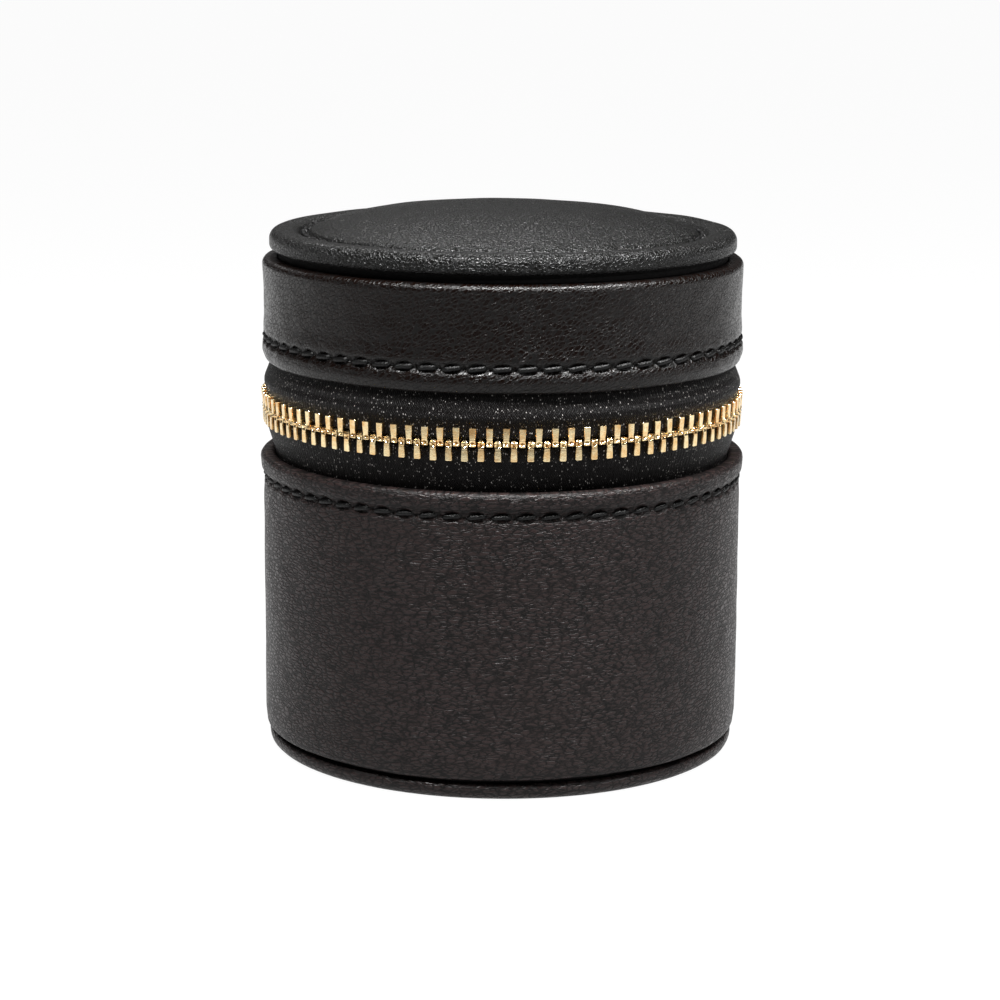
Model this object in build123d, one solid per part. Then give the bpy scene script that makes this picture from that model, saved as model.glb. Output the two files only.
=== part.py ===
"""Round leather jewellery case with a zip round its side and a lid hinged at the back.

Millimetres. +Z is up, the front faces -Y, and the origin is the centre of the foot's underside.
Azimuths are in degrees from the front, counter-clockwise seen from above, so +90 is the +X side.
"""
from build123d import *
import math
import os

# --- driving dimensions -----------------------------------------------------------------------
# Foot and base
FOOT_RADIUS = 30.0
FOOT_HEIGHT = 2.0
FOOT_ROUND = 1.2
FOOT_TOP_ROUND = 0.4
FOOT_SKIN = 0.85               # leather under the base board
BASE_BOARD_RADIUS = 28.9
WALL_BOTTOM = 2.5              # the wall starts here, which leaves a dark groove above the foot

# Body wall, from the outside in
WALL_RADIUS = 30.5
HEM_RADIUS = 30.85             # the turned hem is thicker than the wall
BODY_TOP = 38.0
HEM_DEPTH = 5.0
HEM_SLOPE = 2.5                # height over which the wall swells into the hem
HEM_SHELF = 0.4
LEATHER = 1.0
EDGE_ROUND = 0.7
INNER_EDGE_ROUND = 0.5
BODY_TAPE_RADIUS = 28.6        # middle of the zip tape where the hem grips it

# Lid
LID_BOTTOM = 49.8
LID_BAND_TOP = 62.7
LID_LIP_RADIUS = 30.6          # the band's widest place, just above its lower edge
LID_LIP_HEIGHT = 51.2
LID_WAIST_RADIUS = 30.3
LID_WAIST_HEIGHT = 57.5
LID_BAND_RADIUS = 30.5         # at the band's upper edge
LID_EDGE_RADIUS = 30.25        # at the band's lower edge
LID_TAPE_RADIUS = 28.9         # middle of the zip tape inside the lid band
RIM_BOTTOM = 64.0
RIM_TOP = 66.2
RIM_RADIUS = 29.55
RIM_TOP_ROUND = 1.1
RIM_BOTTOM_ROUND = 0.5
NECK_RADIUS = 28.5
SEAM_RADIUS = 25.2             # stitched ring between the rim and the dome
SEAM_HEIGHT = 65.85
SEAM_BANK = 1.6                # width of the slope from the seam up to the rim's flat top
CROWN_HEIGHT = 69.0
PADDING_INSET = 0.8            # from the seam to the edge of the foam

# Boards and linings
BOARD = 0.9
LINING = 0.8
GLUE_GAP = 0.05                # clearance between glued layers
BODY_LINING_TOP = 38.6
OUTER_BOARD_DROP = 0.5         # the outer board stops this far below the hem's turned-in end
FLOOR_BOARD_THICKNESS = 1.5
FLOOR_LINING_THICKNESS = 0.6
LID_CEILING = 61.4             # underside of the lid's lining disc
LID_BOARD_INSET = 0.15         # room for the lid's closing over the body's lining
LID_BOARD_LIFT = 0.7
LID_OUTER_BOARD_LIFT = 0.3
LID_LINING_LIP = 0.6
TURN_IN_GAP = 0.1
LINING_OUTER_ROUND = 0.25
LINING_INNER_ROUND = 0.5

# Zip chain
CHAIN_HEIGHT = 43.9
CHAIN_RADIUS = 29.75           # middle of the tape at the teeth
TAPE_THICKNESS = 0.6
TAPE_SEWN_DEPTH = 5.2          # how far each tape runs in under its hem
TAPE_EDGE = 0.62               # from the chain's centre line to the edge of a tape
TAPE_BULGE = 0.3               # the lid's tape swells outwards above the teeth
TAPE_BULGE_RISE = 1.2
TAPE_BELLY = 0.25              # the body's tape draws in below the teeth
TAPE_BELLY_DROP = 1.2
TEETH_PER_TURN = 98
TEETH_END_AZIMUTH = 149.0
TAPE_END_AZIMUTH = 159.6
TOOTH_WIDTH = 0.86
TOOTH_ROOT = 2.0               # from the chain's centre line to the far end of a tooth
TOOTH_NOSE = 0.47              # how far a tooth reaches past the centre line
TOOTH_SHOULDER = 0.37
TOOTH_NECK = 0.3               # length of the taper from the shoulder to the head
TOOTH_HALF_DEPTH = 0.9
HEAD_HALF_DEPTH = 0.62
TAPE_FIT = 0.02                # clearance between a tooth's jaw and its tape
STOP_AZIMUTH = 157.9
STOP_WIDTH = 1.2
STOP_HALF_DEPTH = 0.8
STOP_GRIP = 1.2                # how far a stop's jaws reach over the tape
STOP_WEB = 0.3

# Zip slider, at rest near the hinge where the zip is closed
SLIDER_AZIMUTH = 148.0
SLIDER_HALF_LENGTH = 4.0
SLIDER_NARROW = 2.9            # half height at its closed end
SLIDER_WIDE = 3.6              # half height at its open end
SLIDER_CORNER = 0.8
SLIDER_TIP_DROP = 1.2
SLIDER_WAIST = (0.2, 1.6)      # between these the plates widen
PLATE = 0.8
PLATE_ROUND = 0.3
BACK_PLATE_FACE = CHAIN_RADIUS - 1.35
FRONT_PLATE_FACE = CHAIN_RADIUS + 1.2
FLANGE = 0.5
TAPE_SLOT = (CHAIN_RADIUS - 0.88, CHAIN_RADIUS + 0.58)   # between the flanges, for the tape
POST_START = 1.0
POST_MIDDLE = 2.5
POST_END = 3.4
POST_HALF_HEIGHT = 1.1
POST_END_HALF_HEIGHT = 0.5
SPLAY_START_AZIMUTH = 149.6    # from here the tapes part round the slider's post
SPLAY_EDGE = 1.5

# Pull
BAIL_DISTANCE = CHAIN_RADIUS + 3.7
BAIL_BAR_RADIUS = 0.6
BAIL_HALF_LENGTH = 2.6
BAIL_BEND = 0.9
PULL_EYE_RADIUS = 1.3
PULL_EYE_CLEARANCE = 0.08
PULL_EYE_WIDTH = 2.4
PULL_LENGTH = 21.0
PULL_WIDTH = 4.6
PULL_THICKNESS = 1.2
PULL_NECK = 2.2
PULL_SHOULDER = 4.4
PULL_HOLE_RADIUS = 0.9
PULL_HOLE_RISE = 2.5           # from the pull's tip to the middle of its hole
PULL_TIP_FLAT = 0.3

# Hinge strip at the back
HINGE_HALF_ANGLE = 20.0
HINGE_THICKNESS = 0.6
HINGE_BULGE_RADIUS = 29.4      # middle of the strip halfway between the hems
HINGE_STRAIGHT = 1.6           # half the height of its straight part
HINGE_LINING_THICKNESS = 0.5

# Stitching
STITCH_RADIUS = 0.3
STITCH_END_ROUND = 0.24
STITCH_LENGTH = 2.2
STITCH_PITCH = 3.0
STITCH_GROOVE_DEPTH = 0.4
SEAM_GROOVE_DEPTH = 0.2
STITCH_GROOVE_HALF_WIDTH = 0.4
STITCH_CLEARANCE = 0.03
BODY_STITCH_HEIGHT = 35.1
LID_STITCH_HEIGHT = 52.8
HINGE_STITCH_INSET = 1.6

# Ring rolls on the floor
ROLL_COUNT = 4
ROLL_WIDTH = 12.3
ROLL_GAP = 0.5
ROLL_HEIGHT = 11.0
ROLL_EDGE_ROUND = 5.0
ROLL_CLEARANCE = 0.3

FULL_TURN = 360.0
TOOTH_ANGLE = FULL_TURN / TEETH_PER_TURN


# --- helpers ----------------------------------------------------------------------------------
def profile(corners, rounds=None):
    """A closed (radius, height) outline in the XZ plane, with some of its corners rounded."""
    face = Plane.XZ * make_face(Polyline(*corners, close=True))
    for index, radius in (rounds or {}).items():
        across, height = corners[index]
        corner = face.vertices().sort_by_distance(Vector(across, 0, height))[0]
        face = fillet(corner, radius)
    return face


def turned(corners, rounds=None):
    """A full ring or disc, turned about Z."""
    return revolve(profile(corners, rounds), Axis.Z)


def arc_of(face, start, end):
    """A profile turned about Z from one azimuth to another."""
    return Rot(0, 0, start - 90) * revolve(face, Axis.Z, revolution_arc=end - start)


def at_azimuth(shape, azimuth):
    """Carries a shape made at the front round the case."""
    return Rot(0, 0, azimuth) * shape


def band_profile(middle, thickness):
    """The section of a strip of even thickness along a line of (radius, height) points."""
    half = thickness / 2
    outer = [(radius + half, height) for radius, height in middle]
    inner = [(radius - half, height) for radius, height in reversed(middle)]
    return profile(outer + inner)


def disc(radius, bottom, top):
    return Pos(0, 0, bottom) * Cylinder(radius, top - bottom,
                                        align=(Align.CENTER, Align.CENTER, Align.MIN))


def group(solids):
    return Compound(children=list(solids))


# --- foot and body ----------------------------------------------------------------------------
def make_base_leather():
    """A shallow leather cup that wraps the base board."""
    inner = BASE_BOARD_RADIUS + GLUE_GAP
    corners = [(0, 0), (FOOT_RADIUS, 0), (FOOT_RADIUS, FOOT_HEIGHT),
               (inner, FOOT_HEIGHT), (inner, FOOT_SKIN), (0, FOOT_SKIN)]
    return turned(corners, {1: FOOT_ROUND, 2: FOOT_TOP_ROUND})


def make_base_board():
    floor = FOOT_SKIN + GLUE_GAP
    top = WALL_BOTTOM - GLUE_GAP
    return turned([(0, floor), (BASE_BOARD_RADIUS, floor), (BASE_BOARD_RADIUS, top), (0, top)])


def stitch_groove(radius, height):
    """The shallow channel that a stitch row lies in."""
    inner = radius - STITCH_GROOVE_DEPTH
    low = height - STITCH_GROOVE_HALF_WIDTH
    high = height + STITCH_GROOVE_HALF_WIDTH
    return turned([(inner, low), (radius + 1, low), (radius + 1, high), (inner, high)])


def make_body_leather_wall():
    inner = WALL_RADIUS - LEATHER
    hem_inner = BODY_TAPE_RADIUS + TAPE_THICKNESS / 2 + GLUE_GAP
    hem_start = BODY_TOP - HEM_DEPTH
    corners = [(inner, WALL_BOTTOM), (WALL_RADIUS, WALL_BOTTOM), (WALL_RADIUS, hem_start - HEM_SLOPE / 2),
               (HEM_RADIUS, hem_start + HEM_SLOPE / 2), (HEM_RADIUS, BODY_TOP),
               (hem_inner, BODY_TOP), (hem_inner, hem_start), (inner, hem_start - HEM_SHELF)]
    wall = turned(corners, {1: EDGE_ROUND, 4: EDGE_ROUND, 5: INNER_EDGE_ROUND})
    return wall - stitch_groove(HEM_RADIUS, BODY_STITCH_HEIGHT)


def tube(inner, outer, bottom, top, rounds=None):
    return turned([(inner, bottom), (outer, bottom), (outer, top), (inner, top)], rounds)


def make_body_outer_board():
    outer = WALL_RADIUS - LEATHER - GLUE_GAP
    return tube(BODY_TAPE_RADIUS - TAPE_THICKNESS / 2, outer, WALL_BOTTOM,
                BODY_TOP - HEM_DEPTH - OUTER_BOARD_DROP)


def body_inner_board_outer():
    return BODY_TAPE_RADIUS - TAPE_THICKNESS / 2 - GLUE_GAP


def make_body_inner_board():
    outer = body_inner_board_outer()
    return tube(outer - BOARD, outer, WALL_BOTTOM, BODY_TOP - GLUE_GAP)


def body_lining_outer():
    return body_inner_board_outer() - BOARD - GLUE_GAP


def floor_top():
    return WALL_BOTTOM + FLOOR_BOARD_THICKNESS


def make_body_lining():
    """The wall lining, turned outwards over the inner board at the mouth."""
    outer = body_lining_outer()
    inner = outer - LINING
    lip = body_inner_board_outer()
    corners = [(inner, floor_top() + GLUE_GAP), (outer, floor_top() + GLUE_GAP), (outer, BODY_TOP),
               (lip, BODY_TOP), (lip, BODY_LINING_TOP), (inner, BODY_LINING_TOP)]
    return turned(corners, {4: LINING_OUTER_ROUND, 5: LINING_INNER_ROUND})


def make_floor_board():
    return disc(body_lining_outer(), WALL_BOTTOM, floor_top())


def make_floor_lining():
    radius = body_lining_outer() - LINING - GLUE_GAP
    low = floor_top() + GLUE_GAP
    return disc(radius, low, low + FLOOR_LINING_THICKNESS)


def roll_bottom():
    return floor_top() + FLOOR_LINING_THICKNESS + 2 * GLUE_GAP


def make_ring_rolls():
    """Padded rolls side by side, trimmed to the round floor, which hold rings between them."""
    radius = body_lining_outer() - LINING - ROLL_CLEARANCE
    well = disc(radius, roll_bottom(), roll_bottom() + ROLL_HEIGHT)
    pitch = ROLL_WIDTH + ROLL_GAP
    first = -pitch * (ROLL_COUNT - 1) / 2
    rolls = []
    for index in range(ROLL_COUNT):
        bar = Box(2 * radius, ROLL_WIDTH, ROLL_HEIGHT,
                  align=(Align.CENTER, Align.CENTER, Align.MIN))
        top_edges = bar.edges().filter_by(Axis.X).group_by(Axis.Z)[-1]
        bar = fillet(top_edges, ROLL_EDGE_ROUND)
        rolls.append((Pos(0, first + index * pitch, roll_bottom()) * bar & well).solid())
    return group(rolls)


# --- lid --------------------------------------------------------------------------------------
def lid_leather_inner():
    return LID_TAPE_RADIUS + TAPE_THICKNESS / 2 + GLUE_GAP


def make_lid_band_leather():
    """The lid's side band, turned in over its outer board at the top."""
    inner = lid_leather_inner()
    turn = LID_BAND_TOP - LEATHER
    turn_end = NECK_RADIUS + TURN_IN_GAP
    corners = [(inner, LID_BOTTOM), (LID_EDGE_RADIUS, LID_BOTTOM), (LID_LIP_RADIUS, LID_LIP_HEIGHT),
               (LID_WAIST_RADIUS, LID_WAIST_HEIGHT), (LID_BAND_RADIUS, LID_BAND_TOP),
               (turn_end, LID_BAND_TOP), (turn_end, turn), (inner, turn)]
    band = turned(corners, {1: INNER_EDGE_ROUND, 4: EDGE_ROUND})
    return band - stitch_groove(lid_stitch_surface(), LID_STITCH_HEIGHT)


def lid_stitch_surface():
    """Radius of the lid band's surface at its stitch row, between its lip and its waist."""
    share = (LID_STITCH_HEIGHT - LID_LIP_HEIGHT) / (LID_WAIST_HEIGHT - LID_LIP_HEIGHT)
    return LID_LIP_RADIUS + (LID_WAIST_RADIUS - LID_LIP_RADIUS) * share


def lid_tape_top():
    return LID_BOTTOM + TAPE_SEWN_DEPTH


def make_lid_outer_board():
    outer = lid_leather_inner() - GLUE_GAP
    return tube(LID_TAPE_RADIUS - TAPE_THICKNESS / 2, outer, lid_tape_top() + LID_OUTER_BOARD_LIFT,
                LID_BAND_TOP - LEATHER - GLUE_GAP)


def lid_inner_board_outer():
    return LID_TAPE_RADIUS - TAPE_THICKNESS / 2 - GLUE_GAP - LID_BOARD_INSET


def make_lid_inner_board():
    outer = lid_inner_board_outer()
    return tube(outer - BOARD, outer, LID_BOTTOM + LID_BOARD_LIFT, LID_BAND_TOP)


def lid_lining_outer():
    return lid_inner_board_outer() - BOARD - GLUE_GAP


def make_lid_lining_wall():
    """The lid's wall lining, turned outwards under the inner board at the mouth."""
    outer = lid_lining_outer()
    inner = outer - LINING
    lip = lid_inner_board_outer()
    lip_top = LID_BOTTOM + LID_LINING_LIP
    corners = [(inner, LID_BOTTOM), (lip, LID_BOTTOM), (lip, lip_top), (outer, lip_top),
               (outer, LID_CEILING), (inner, LID_CEILING)]
    return turned(corners, {0: LINING_INNER_ROUND, 1: LINING_OUTER_ROUND})


def make_lid_lining_disc():
    return disc(lid_lining_outer() - GLUE_GAP, LID_CEILING + GLUE_GAP, LID_BAND_TOP - GLUE_GAP)


def board_top():
    return RIM_TOP - LEATHER - 2 * GLUE_GAP


def make_lid_top_board():
    """The disc that carries the padded top. Its bare edge is the dark neck under the rim."""
    return disc(NECK_RADIUS, LID_BAND_TOP + GLUE_GAP, board_top())


def dome_arc(rise_from, crown, radius):
    """An arc from the axis at the crown down to the seam's radius, in the XZ plane."""
    sag = crown - rise_from
    arc_radius = (radius ** 2 + sag ** 2) / (2 * sag)
    half_angle = math.asin(radius / arc_radius) / 2
    middle = (arc_radius * math.sin(half_angle), crown - arc_radius * (1 - math.cos(half_angle)))
    return ThreePointArc((0, crown), middle, (radius, rise_from))


def make_lid_top_leather():
    """Rim and dome in one, hollow under the dome for the padding."""
    inner = NECK_RADIUS + GLUE_GAP
    under = board_top() + GLUE_GAP
    skin_edge = SEAM_RADIUS - PADDING_INSET / 2
    bank = SEAM_RADIUS + SEAM_BANK
    outline = [dome_arc(SEAM_HEIGHT, CROWN_HEIGHT, SEAM_RADIUS),
               Line((SEAM_RADIUS, SEAM_HEIGHT), (bank, RIM_TOP)),
               Line((bank, RIM_TOP), (RIM_RADIUS, RIM_TOP)),
               Line((RIM_RADIUS, RIM_TOP), (RIM_RADIUS, RIM_BOTTOM)),
               Line((RIM_RADIUS, RIM_BOTTOM), (inner, RIM_BOTTOM)),
               Line((inner, RIM_BOTTOM), (inner, under)),
               Line((inner, under), (skin_edge, under)),
               dome_arc(under, CROWN_HEIGHT - LEATHER, skin_edge),
               Line((0, CROWN_HEIGHT - LEATHER), (0, CROWN_HEIGHT))]
    face = Plane.XZ * make_face(outline)
    for height, radius in ((RIM_TOP, RIM_TOP_ROUND), (RIM_BOTTOM, RIM_BOTTOM_ROUND)):
        corner = face.vertices().sort_by_distance(Vector(RIM_RADIUS, 0, height))[0]
        face = fillet(corner, radius)
    leather = revolve(face, Axis.Z)
    groove = tube(SEAM_RADIUS - STITCH_GROOVE_HALF_WIDTH, SEAM_RADIUS + STITCH_GROOVE_HALF_WIDTH,
                  SEAM_HEIGHT - SEAM_GROOVE_DEPTH, CROWN_HEIGHT)
    return leather - groove


def make_lid_top_padding():
    """The foam lens between the board and the dome's leather."""
    low = board_top() + GLUE_GAP
    edge = SEAM_RADIUS - PADDING_INSET
    crown = CROWN_HEIGHT - LEATHER - 2 * GLUE_GAP
    outline = [dome_arc(low, crown, edge), Line((edge, low), (0, low)), Line((0, low), (0, crown))]
    return revolve(Plane.XZ * make_face(outline), Axis.Z)


# --- zip --------------------------------------------------------------------------------------
def tape_line(side):
    """The middle of a tape's section: side is +1 for the lid's tape and -1 for the body's."""
    chain_end = (CHAIN_RADIUS, CHAIN_HEIGHT + side * TAPE_EDGE)
    chain_bend = (CHAIN_RADIUS, CHAIN_HEIGHT + side * TOOTH_ROOT)
    if side > 0:
        bulge = (CHAIN_RADIUS + TAPE_BULGE, CHAIN_HEIGHT + TOOTH_ROOT + TAPE_BULGE_RISE)
        hem = (LID_TAPE_RADIUS, LID_BOTTOM)
        sewn = (LID_TAPE_RADIUS, LID_BOTTOM + TAPE_SEWN_DEPTH)
        return [chain_end, chain_bend, bulge, hem, sewn]
    belly = (CHAIN_RADIUS - TAPE_BELLY, CHAIN_HEIGHT - TOOTH_ROOT - TAPE_BELLY_DROP)
    hem = (BODY_TAPE_RADIUS, BODY_TOP)
    sewn = (BODY_TAPE_RADIUS, BODY_TOP - TAPE_SEWN_DEPTH)
    return [sewn, hem, belly, chain_bend, chain_end]


def make_tape(side):
    """A tape from one side of the hinge round the front to the other, parted at the slider."""
    tape = arc_of(band_profile(tape_line(side), TAPE_THICKNESS), -TAPE_END_AZIMUTH, TAPE_END_AZIMUTH)
    low, high = sorted((CHAIN_HEIGHT - side, CHAIN_HEIGHT + side * SPLAY_EDGE))
    inner = CHAIN_RADIUS - 1
    outer = CHAIN_RADIUS + 1
    cut = profile([(inner, low), (outer, low), (outer, high), (inner, high)])
    return tape - arc_of(cut, SPLAY_START_AZIMUTH, TAPE_END_AZIMUTH + 1)


def clamp_on_tape(side, outline, width):
    """Metal folded round a tape's edge at the front: a (depth, height) outline given thickness."""
    plane = Plane((side * width / 2, -CHAIN_RADIUS, CHAIN_HEIGHT), x_dir=(0, -1, 0),
                  z_dir=(-side, 0, 0))
    return extrude(plane * make_face(outline), width)


def make_tooth(side):
    """One tooth: two jaws on the tape's edge and a round-nosed head."""
    jaw = TAPE_THICKNESS / 2 + TAPE_FIT
    flank = [(TOOTH_HALF_DEPTH, TOOTH_ROOT), (TOOTH_HALF_DEPTH, TOOTH_SHOULDER),
             (HEAD_HALF_DEPTH, TOOTH_SHOULDER - TOOTH_NECK),
             (HEAD_HALF_DEPTH, TOOTH_NECK - TOOTH_NOSE)]
    far_flank = [(-depth, up) for depth, up in reversed(flank)]
    mouth = [(-jaw, TOOTH_ROOT), (-jaw, TAPE_EDGE - TAPE_FIT),
             (jaw, TAPE_EDGE - TAPE_FIT), (jaw, TOOTH_ROOT)]
    nose = ThreePointArc(flank[-1], (0, -TOOTH_NOSE), far_flank[0])
    outline = [Polyline(*flank), nose, Polyline(*far_flank, *mouth, flank[0])]
    return clamp_on_tape(side, outline, TOOTH_WIDTH)


def make_teeth(side):
    """A row of teeth. The two rows are half a pitch apart, so that they mesh."""
    half_count = int(TEETH_END_AZIMUTH / TOOTH_ANGLE)
    tooth = make_tooth(side)
    shift = TOOTH_ANGLE / 4 * side
    steps = range(-half_count, half_count + 1)
    return group(at_azimuth(tooth, step * TOOTH_ANGLE + shift).solid() for step in steps)


def make_stop(side, tape_edge):
    """One end stop, a plain metal staple closed round the tape's edge."""
    jaw = TAPE_THICKNESS / 2 + TAPE_FIT
    web = tape_edge - TAPE_FIT
    far = min(tape_edge + STOP_GRIP, TOOTH_ROOT)
    outline = Polyline((STOP_HALF_DEPTH, web - STOP_WEB), (STOP_HALF_DEPTH, far), (jaw, far),
                       (jaw, web), (-jaw, web), (-jaw, far), (-STOP_HALF_DEPTH, far),
                       (-STOP_HALF_DEPTH, web - STOP_WEB), close=True)
    return clamp_on_tape(side, outline, STOP_WIDTH)


def make_stops(side):
    """The stops at the two ends of one tooth row, one of them on the parted end."""
    return group([at_azimuth(make_stop(side, SPLAY_EDGE), STOP_AZIMUTH).solid(),
                  at_azimuth(make_stop(side, TAPE_EDGE), -STOP_AZIMUTH).solid()])


# --- slider and pull --------------------------------------------------------------------------
def slider_outline(inset=0.0):
    """The slider's face, with its shoulders at the wide end, as seen from outside."""
    length = SLIDER_HALF_LENGTH - inset
    narrow = SLIDER_NARROW - inset
    wide = SLIDER_WIDE - inset
    waist_start, waist_end = SLIDER_WAIST
    upper = [(-length, narrow - SLIDER_CORNER), (-length + SLIDER_CORNER, narrow),
             (waist_start, narrow), (waist_end, wide), (length - SLIDER_CORNER, wide),
             (length, wide - SLIDER_TIP_DROP)]
    lower = [(across, -up) for across, up in reversed(upper)]
    return make_face(Polyline(*upper, *lower, close=True))


def slab(face, near, far):
    """A flat plate of the given outline, between two distances from the case's axis."""
    plane = Plane((0, -near, CHAIN_HEIGHT), x_dir=(1, 0, 0), z_dir=(0, -1, 0))
    return extrude(plane * face, far - near)


def make_slider_body():
    """Two plates joined by a wedge-shaped post, with flanges that keep the teeth in."""
    whole = slider_outline()
    border = whole - slider_outline(FLANGE)
    ends = Rectangle(4 * SLIDER_HALF_LENGTH, 2 * (SLIDER_NARROW - FLANGE - TAPE_FIT))
    flange = border - ends
    slot_low, slot_high = TAPE_SLOT
    post = make_face(Polyline((POST_START, 0), (POST_MIDDLE, POST_HALF_HEIGHT),
                              (POST_END, POST_END_HALF_HEIGHT), (POST_END, -POST_END_HALF_HEIGHT),
                              (POST_MIDDLE, -POST_HALF_HEIGHT), close=True))
    back = slab(whole, BACK_PLATE_FACE - PLATE, BACK_PLATE_FACE)
    front = slab(whole, FRONT_PLATE_FACE, FRONT_PLATE_FACE + PLATE)
    back = fillet(back.faces().sort_by(Axis.Y)[-1].edges(), PLATE_ROUND)
    front = fillet(front.faces().sort_by(Axis.Y)[0].edges(), PLATE_ROUND)
    slider = back + front
    slider += slab(flange, BACK_PLATE_FACE, slot_low)
    slider += slab(flange, slot_high, FRONT_PLATE_FACE)
    slider += slab(post, BACK_PLATE_FACE, FRONT_PLATE_FACE)
    return at_azimuth(slider, SLIDER_AZIMUTH).solid()


def make_slider_bail():
    """A staple of round bar that stands on the front plate and carries the pull."""
    foot = -(FRONT_PLATE_FACE + PLATE)
    bar = -BAIL_DISTANCE
    route = FilletPolyline((-BAIL_HALF_LENGTH, foot, CHAIN_HEIGHT),
                           (-BAIL_HALF_LENGTH, bar, CHAIN_HEIGHT),
                           (BAIL_HALF_LENGTH, bar, CHAIN_HEIGHT),
                           (BAIL_HALF_LENGTH, foot, CHAIN_HEIGHT), radius=BAIL_BEND)
    section = Plane(origin=route @ 0, z_dir=route % 0) * Circle(BAIL_BAR_RADIUS)
    return at_azimuth(sweep(section, path=route), SLIDER_AZIMUTH)


def make_zip_pull():
    """A flat tab that hangs from the bail by its eye."""
    across = Plane((-PULL_EYE_WIDTH / 2, -BAIL_DISTANCE, CHAIN_HEIGHT), x_dir=(0, 1, 0),
                   z_dir=(1, 0, 0))
    eye = extrude(across * Circle(PULL_EYE_RADIUS), PULL_EYE_WIDTH)
    hole = extrude(across * Circle(BAIL_BAR_RADIUS + PULL_EYE_CLEARANCE), PULL_EYE_WIDTH)
    half = PULL_WIDTH / 2
    neck = PULL_EYE_WIDTH / 2
    tip = -PULL_LENGTH
    face = make_face(Polyline((-neck, 0), (neck, 0), (neck, -PULL_NECK), (half, -PULL_SHOULDER),
                              (half, tip), (-half, tip), (-half, -PULL_SHOULDER),
                              (-neck, -PULL_NECK), close=True))
    corners = face.vertices().group_by(Axis.Y)[0]
    face = fillet(corners, half - PULL_TIP_FLAT)
    face -= Pos(0, tip + PULL_HOLE_RISE) * Circle(PULL_HOLE_RADIUS)
    front = Plane((0, -BAIL_DISTANCE + PULL_THICKNESS / 2, CHAIN_HEIGHT), x_dir=(1, 0, 0),
                  z_dir=(0, -1, 0))
    tab = extrude(front * face, PULL_THICKNESS)
    return at_azimuth(eye + tab - hole, SLIDER_AZIMUTH).solid()


# --- hinge ------------------------------------------------------------------------------------
def hinge_line(offset):
    """The middle of the hinge strip's section, from under the body's hem to under the lid band."""
    return [(BODY_TAPE_RADIUS - offset, BODY_TOP - TAPE_SEWN_DEPTH),
            (BODY_TAPE_RADIUS - offset, BODY_TOP),
            (HINGE_BULGE_RADIUS - offset, CHAIN_HEIGHT - HINGE_STRAIGHT),
            (HINGE_BULGE_RADIUS - offset, CHAIN_HEIGHT + HINGE_STRAIGHT),
            (LID_TAPE_RADIUS - offset, LID_BOTTOM),
            (LID_TAPE_RADIUS - offset, LID_BOTTOM + TAPE_SEWN_DEPTH)]


def make_hinge_leather():
    face = band_profile(hinge_line(0), HINGE_THICKNESS)
    return arc_of(face, 180 - HINGE_HALF_ANGLE, 180 + HINGE_HALF_ANGLE)


def make_hinge_lining():
    """The inner facing covers the strip only where it can be seen, between the two linings."""
    offset = (HINGE_THICKNESS + HINGE_LINING_THICKNESS) / 2 + GLUE_GAP
    visible = hinge_line(offset)[1:-1]
    low = (visible[0][0], BODY_LINING_TOP + GLUE_GAP)
    high = (visible[-1][0], LID_BOTTOM - GLUE_GAP)
    face = band_profile([low] + visible[1:-1] + [high], HINGE_LINING_THICKNESS)
    return arc_of(face, 180 - HINGE_HALF_ANGLE, 180 + HINGE_HALF_ANGLE)


# --- stitching --------------------------------------------------------------------------------
def make_stitch():
    """One stitch along X, with rounded ends."""
    thread = Rot(0, 90, 0) * Cylinder(STITCH_RADIUS, STITCH_LENGTH)
    return fillet(thread.edges().filter_by(GeomType.CIRCLE), STITCH_END_ROUND)


def stitch_ring(radius, height):
    """Stitches end to end round the case, with the middle of the thread at the given radius."""
    count = round(2 * math.pi * radius / STITCH_PITCH)
    stitch = Pos(0, -radius, height) * make_stitch()
    return group(at_azimuth(stitch, index * FULL_TURN / count).solid() for index in range(count))


def groove_stitches(surface_radius, height):
    """A row of stitches that lies in the groove of a leather wall."""
    lift = STITCH_RADIUS + STITCH_CLEARANCE - STITCH_GROOVE_DEPTH
    return stitch_ring(surface_radius + lift, height)


def make_lid_top_stitching():
    groove_floor = SEAM_HEIGHT - SEAM_GROOVE_DEPTH
    return stitch_ring(SEAM_RADIUS, groove_floor + STITCH_RADIUS + STITCH_CLEARANCE)


def make_hinge_stitching():
    """Upright rows along the hinge strip's edges, one stitch on each straight stretch."""
    inset = math.degrees(HINGE_STITCH_INSET / HINGE_BULGE_RADIUS)
    lift = HINGE_THICKNESS / 2 + STITCH_RADIUS + STITCH_CLEARANCE
    bends = hinge_line(0)[1:-1]
    stitches = []
    for (low_radius, low), (high_radius, high) in zip(bends, bends[1:]):
        lean = math.degrees(math.atan2(high_radius - low_radius, high - low))
        radius = (low_radius + high_radius) / 2 + lift
        upright = Rot(lean, 0, 0) * Rot(0, 90, 0) * make_stitch()
        stitch = Pos(0, -radius, (low + high) / 2) * upright
        for azimuth in (180 - HINGE_HALF_ANGLE + inset, 180 + HINGE_HALF_ANGLE - inset):
            stitches.append(at_azimuth(stitch, azimuth).solid())
    return group(stitches)


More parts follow.
